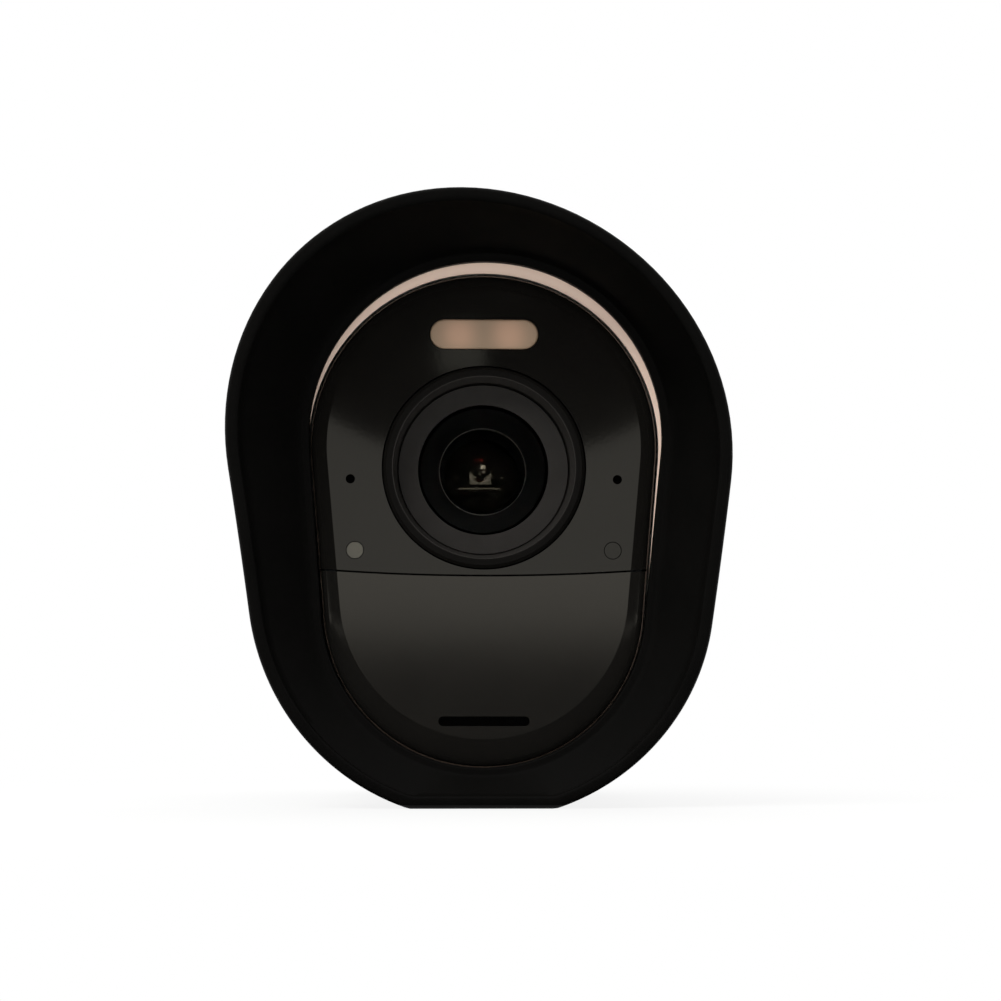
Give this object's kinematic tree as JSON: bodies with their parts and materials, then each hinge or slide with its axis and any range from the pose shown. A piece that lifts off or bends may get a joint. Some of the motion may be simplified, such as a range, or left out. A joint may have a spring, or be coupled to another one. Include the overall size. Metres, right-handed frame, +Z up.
{
  "type": "hooded silicone camera case on its security camera",
  "caption": "Black moulded silicone case with a forward-reaching sun hood, fitted on a battery-powered security camera whose core slides out of its housing.",
  "frame": {"origin": "on the flat foot that the case stands on, below the lens axis, in the plane of the camera housing's front edge", "axes": "+X to the viewer's right when looking at the face, +Y back along the case so that the lens looks along -Y, +Z up"},
  "size_m": [0.0657, 0.1023, 0.0806],
  "materials": {
    "case_silicone": "matt moulded",
    "housing_white": "gloss",
    "insert_brass": "turned",
    "plate_steel": "zinc plated",
    "button_white": "satin",
    "port_black": "satin",
    "contact_gold": "plated",
    "board_green": "solder mask",
    "switch_black": "satin",
    "face_gloss": "gloss",
    "face_satin": "satin",
    "trim_black": "satin",
    "bezel_grey": "satin",
    "clear_glass": "coated",
    "barrel_black": "matt",
    "lens_glass": "coated",
    "frosted_white": "frosted",
    "led_yellow": "phosphor",
    "sensor_silicon": "polished",
    "pipe_clear": "polished",
    "mesh_black": "woven",
    "speaker_black": "matt",
    "sensor_can": "plated",
    "capsule_metal": "plated",
    "chassis_grey": "matt",
    "screw_steel": "plated",
    "seal_rubber": "moulded",
    "battery_black": "satin",
    "pin_steel": "ground"
  },
  "bodies": {
    "camera_housing": {"silicone_case": "case_silicone", "housing_shell": "housing_white", "tripod_insert": "insert_brass", "magnet_plate": "plate_steel", "lever_pin": "pin_steel", "charging_port": "port_black", "charging_contacts": "contact_gold", "port_board": "board_green", "pairing_switch": "switch_black"},
    "release_lever": {"release_lever": "button_white"},
    "pairing_button": {"pairing_button": "port_black"},
    "camera_core": {"upper_faceplate": "face_gloss", "lower_faceplate": "face_satin", "lens_trim_ring": "trim_black", "lens_bezel_ring": "bezel_grey", "lens_window": "clear_glass", "lens_barrel": "barrel_black", "front_lens": "lens_glass", "rear_lens": "lens_glass", "sensor_holder": "barrel_black", "image_sensor": "sensor_silicon", "sensor_board": "board_green", "spotlight_lens": "frosted_white", "spotlight_board": "board_green", "spotlight_leds": "led_yellow", "microphones": "capsule_metal", "status_light_pipe": "pipe_clear", "light_sensor_window": "pipe_clear", "speaker_mesh": "mesh_black", "speaker": "speaker_black", "motion_sensor": "sensor_can", "front_frame": "chassis_grey", "frame_screws": "screw_steel", "chassis": "chassis_grey", "seal_ring": "seal_rubber", "main_board": "board_green", "battery_contacts": "contact_gold", "battery": "battery_black"}
  },
  "joints": [
    {"name": "core_slide", "type": "slide", "parent": "camera_housing", "child": "camera_core", "axis": [0, -1, 0], "range_m": [0, 0.068]},
    {"name": "lever_pivot", "type": "hinge", "parent": "camera_housing", "child": "release_lever", "pos_m": [0, 0.022, 0.0078], "axis": [1, 0, 0], "range_deg": [0, 5], "stiffness_Nm_per_rad": 0.4},
    {"name": "pairing_press", "type": "slide", "parent": "camera_housing", "child": "pairing_button", "axis": [0, 0, 1], "range_m": [0, 0.0006], "stiffness_N_per_m": 1500}
  ]
}
